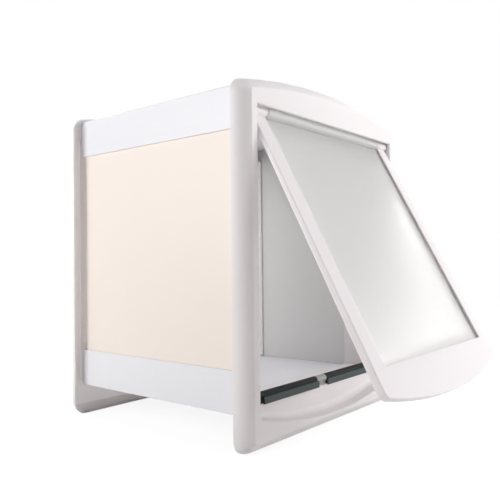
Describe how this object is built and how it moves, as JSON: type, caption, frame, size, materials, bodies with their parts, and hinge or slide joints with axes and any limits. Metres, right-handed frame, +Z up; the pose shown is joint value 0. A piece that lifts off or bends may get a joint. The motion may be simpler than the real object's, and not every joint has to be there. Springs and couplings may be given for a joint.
{
  "type": "dog flap with wall tunnel",
  "caption": "Wall-mounted dog flap: white moulded frames joined by a lined tunnel, with a glazed, top-hinged flap in the front frame, shown part open.",
  "frame": {"origin": "under the middle of the whole object's bounding box, on the plane that both frames stand on", "axes": "+X to the right looking at the front, +Y from the front frame through the tunnel, +Z up"},
  "size_m": [0.386, 0.5132, 0.455],
  "materials": {
    "white_plastic": "satin moulded white plastic",
    "lining_white": "satin extruded white plastic",
    "panel_cream": "cream sheet plastic",
    "glazing_clear": "translucent glazing",
    "steel": "zinc plated",
    "seal_rubber": "matt extruded rubber",
    "bush_grey": "grey plastic cover"
  },
  "bodies": {
    "housing": {"front_frame": "white_plastic", "rear_frame": "white_plastic", "tunnel_top_channel": "lining_white", "tunnel_bottom_channel": "lining_white", "tunnel_left_panel": "panel_cream", "tunnel_right_panel": "panel_cream", "hinge_bush_left": "white_plastic", "hinge_bush_right": "white_plastic", "sill_seal_left": "seal_rubber", "sill_seal_right": "seal_rubber", "sill_magnet": "steel", "sill_magnet_cover": "bush_grey", "lining_screw_front_top": "steel", "lining_screw_front_bottom": "steel", "lining_screw_rear_top": "steel", "lining_screw_rear_bottom": "steel"},
    "flap": {"flap_frame": "white_plastic", "flap_panel": "glazing_clear", "hinge_rod": "steel", "flap_magnet": "steel"}
  },
  "joints": [
    {"name": "flap_swing", "type": "hinge", "parent": "housing", "child": "flap", "pos_m": [0, -0.0784, 0.4022], "axis": [-1, 0, 0], "range_deg": [-28, 62]}
  ]
}
